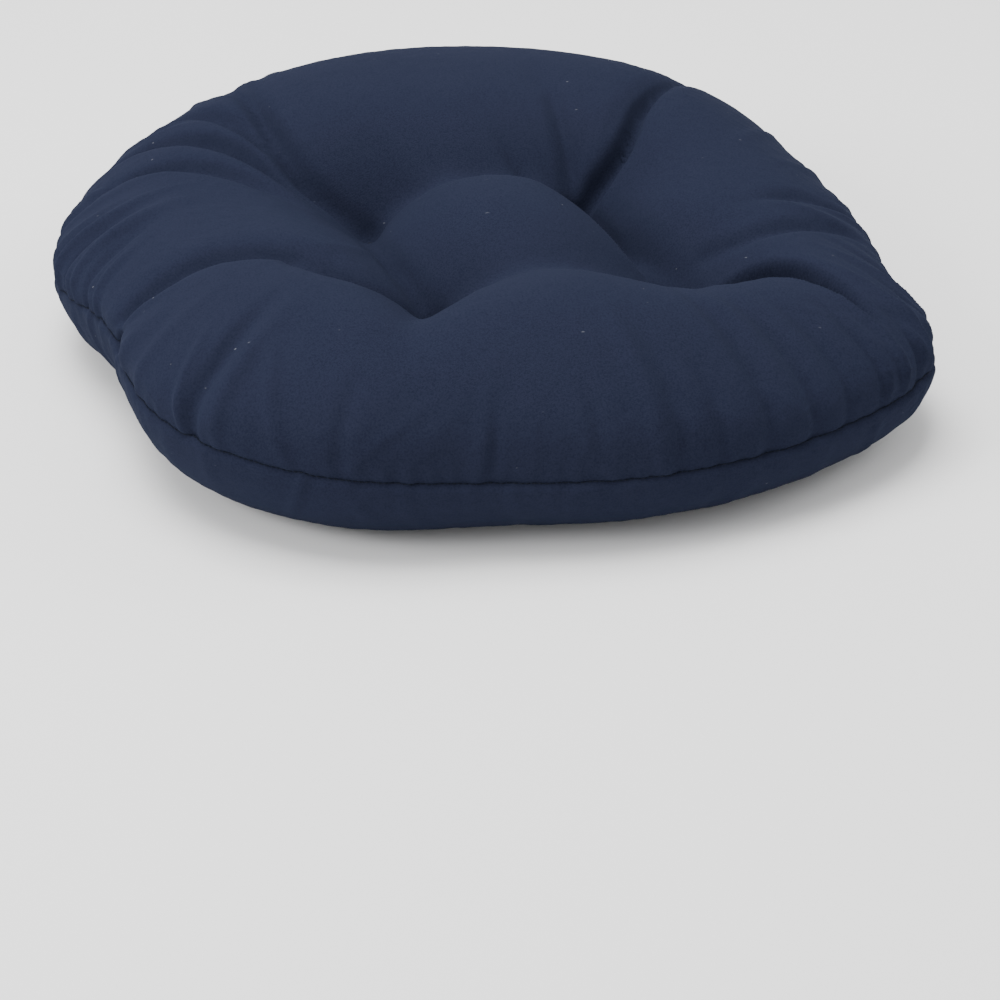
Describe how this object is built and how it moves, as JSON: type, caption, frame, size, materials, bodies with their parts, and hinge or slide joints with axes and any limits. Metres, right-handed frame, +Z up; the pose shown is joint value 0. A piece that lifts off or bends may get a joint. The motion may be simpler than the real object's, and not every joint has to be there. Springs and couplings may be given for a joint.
{
  "type": "seat cushion",
  "caption": "Round overstuffed seat cushion: two twill panels sewn at the rim, fibre filling, and tufts pulled down by twine loops.",
  "frame": {"origin": "centre of the flat underside, on the surface that the cushion rests on", "axes": "+Z up through the cushion, -Y towards its front, +X to its right as seen from the front"},
  "size_m": [0.4999, 0.4998, 0.12],
  "materials": {
    "cover_twill": "matte navy cotton twill",
    "fibre": "loose white polyester fibre",
    "sewing_thread": "navy polyester sewing thread",
    "tuft_twine": "waxed navy twine",
    "label_ribbon": "blank woven ribbon"
  },
  "bodies": {
    "root": {"top_cover": "cover_twill", "bottom_cover": "cover_twill", "fibre_fill": "fibre", "seam_thread": "sewing_thread", "overlock_thread": "sewing_thread", "closing_stitches": "sewing_thread", "care_label": "label_ribbon", "tuft_twine_front_left": "tuft_twine", "tuft_twine_front_right": "tuft_twine", "tuft_twine_back_left": "tuft_twine", "tuft_twine_back_right": "tuft_twine"}
  },
  "joints": []
}
